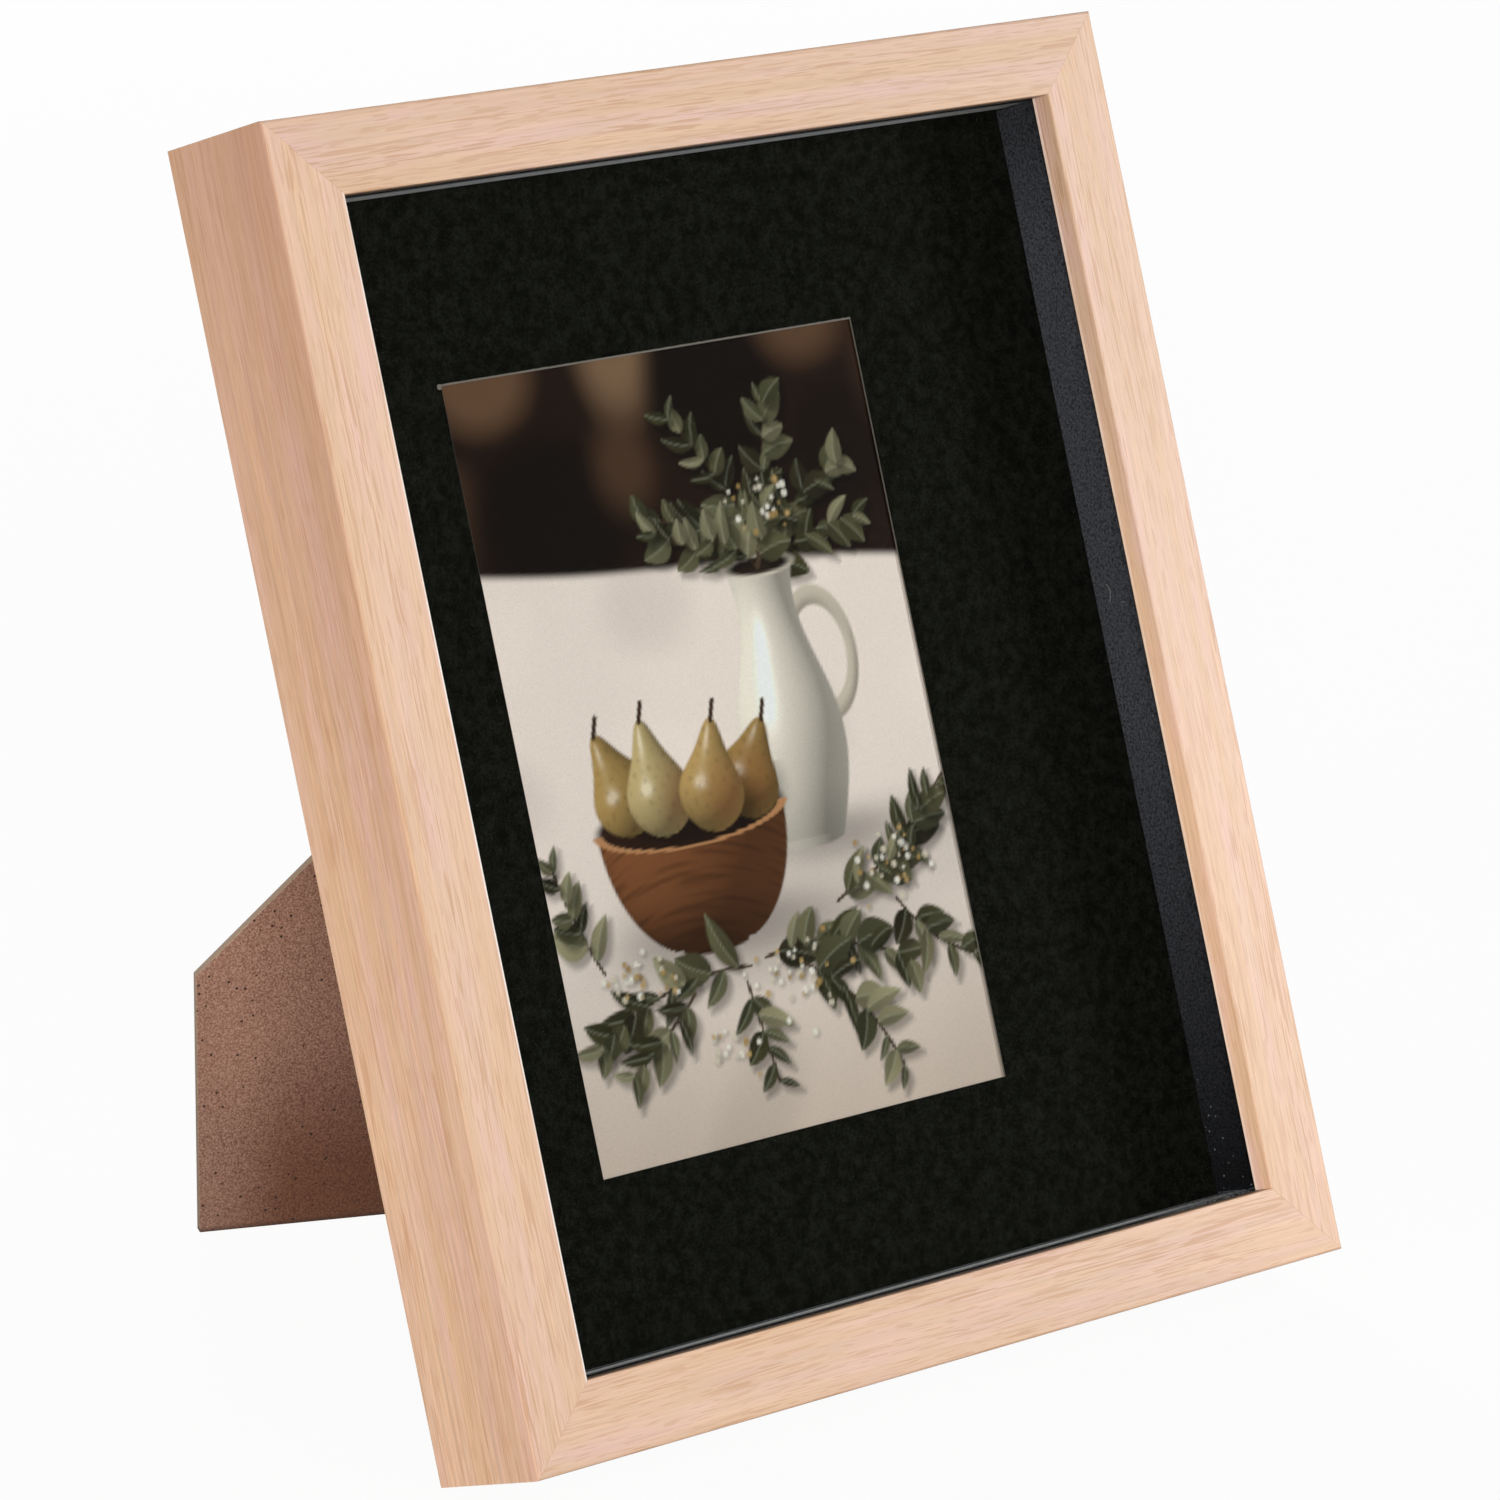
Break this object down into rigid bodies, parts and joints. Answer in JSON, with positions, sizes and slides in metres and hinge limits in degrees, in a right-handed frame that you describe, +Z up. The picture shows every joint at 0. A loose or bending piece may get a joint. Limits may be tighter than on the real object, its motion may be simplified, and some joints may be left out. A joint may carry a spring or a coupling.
{
  "type": "shadow box frame",
  "caption": "Free-standing shadow box picture frame in oak-look moulding, with glass, black deep liner, black mount and a folding strut behind",
  "frame": {"origin": "bottom centre of the bounding box, on the surface that the frame stands on", "axes": "+Z up, front of the frame towards -Y and leant back towards +Y, +X to the viewer's right"},
  "size_m": [0.224, 0.178, 0.2683],
  "materials": {
    "oak_foil": "satin",
    "glass": "polished",
    "black_card": "matte",
    "print_paper": "satin",
    "hardboard": "matte",
    "steel": "satin"
  },
  "bodies": {
    "frame": {"bottom_rail": "oak_foil", "top_rail": "oak_foil", "left_rail": "oak_foil", "right_rail": "oak_foil", "mitre_nail_top_right_1": "steel", "mitre_nail_top_right_2": "steel", "mitre_nail_bottom_right_1": "steel", "mitre_nail_bottom_right_2": "steel", "mitre_nail_bottom_left_1": "steel", "mitre_nail_bottom_left_2": "steel", "mitre_nail_top_left_1": "steel", "mitre_nail_top_left_2": "steel", "clip_rivet_left_upper": "steel", "clip_rivet_left_lower": "steel", "clip_rivet_right_upper": "steel", "clip_rivet_right_lower": "steel", "clip_rivet_top_left": "steel", "clip_rivet_top_right": "steel", "clip_rivet_bottom_left": "steel", "clip_rivet_bottom_right": "steel", "portrait_hanger": "steel", "landscape_hanger": "steel", "portrait_hanger_rivet_a": "steel", "portrait_hanger_rivet_b": "steel", "landscape_hanger_rivet_a": "steel", "landscape_hanger_rivet_b": "steel", "fixed_leaf_rivet_a": "steel", "fixed_leaf_rivet_b": "steel", "hinge_fixed_leaf": "steel", "hinge_pin": "steel", "spacer_top": "black_card", "spacer_bottom": "black_card", "spacer_left": "black_card", "spacer_right": "black_card", "mount_board": "black_card", "glass_pane": "glass", "photo_print": "print_paper", "backboard": "hardboard"},
    "strut": {"hinge_strut_leaf": "steel", "strut_board": "hardboard", "strut_rivet_a": "steel", "strut_rivet_b": "steel"},
    "clip_left_upper": {"turn_clip_left_upper": "steel"},
    "clip_left_lower": {"turn_clip_left_lower": "steel"},
    "clip_right_upper": {"turn_clip_right_upper": "steel"},
    "clip_right_lower": {"turn_clip_right_lower": "steel"},
    "clip_top_left": {"turn_clip_top_left": "steel"},
    "clip_top_right": {"turn_clip_top_right": "steel"},
    "clip_bottom_left": {"turn_clip_bottom_left": "steel"},
    "clip_bottom_right": {"turn_clip_bottom_right": "steel"}
  },
  "joints": [
    {"name": "strut_fold", "type": "hinge", "parent": "frame", "child": "strut", "pos_m": [0.06165, 0.00826, 0.19623], "axis": [0.8141, -0.2081, -0.5421], "range_deg": [-35.15, 0]},
    {"name": "clip_left_upper_turn", "type": "hinge", "parent": "frame", "child": "clip_left_upper", "pos_m": [-0.089, 0.01549, 0.22065], "axis": [0, 0.9336, -0.3584], "continuous": true},
    {"name": "clip_left_lower_turn", "type": "hinge", "parent": "frame", "child": "clip_left_lower", "pos_m": [-0.089, -0.0526, 0.04328], "axis": [0, 0.9336, -0.3584], "continuous": true},
    {"name": "clip_right_upper_turn", "type": "hinge", "parent": "frame", "child": "clip_right_upper", "pos_m": [0.089, 0.01549, 0.22065], "axis": [0, 0.9336, -0.3584], "continuous": true},
    {"name": "clip_right_lower_turn", "type": "hinge", "parent": "frame", "child": "clip_right_lower", "pos_m": [0.089, -0.0526, 0.04328], "axis": [0, 0.9336, -0.3584], "continuous": true},
    {"name": "clip_top_left_turn", "type": "hinge", "parent": "frame", "child": "clip_top_left", "pos_m": [-0.0456, 0.02244, 0.23877], "axis": [0, 0.9336, -0.3584], "continuous": true},
    {"name": "clip_top_right_turn", "type": "hinge", "parent": "frame", "child": "clip_top_right", "pos_m": [0.0456, 0.02244, 0.23877], "axis": [0, 0.9336, -0.3584], "continuous": true},
    {"name": "clip_bottom_left_turn", "type": "hinge", "parent": "frame", "child": "clip_bottom_left", "pos_m": [-0.0456, -0.05955, 0.02516], "axis": [0, 0.9336, -0.3584], "continuous": true},
    {"name": "clip_bottom_right_turn", "type": "hinge", "parent": "frame", "child": "clip_bottom_right", "pos_m": [0.0456, -0.05955, 0.02516], "axis": [0, 0.9336, -0.3584], "continuous": true}
  ]
}
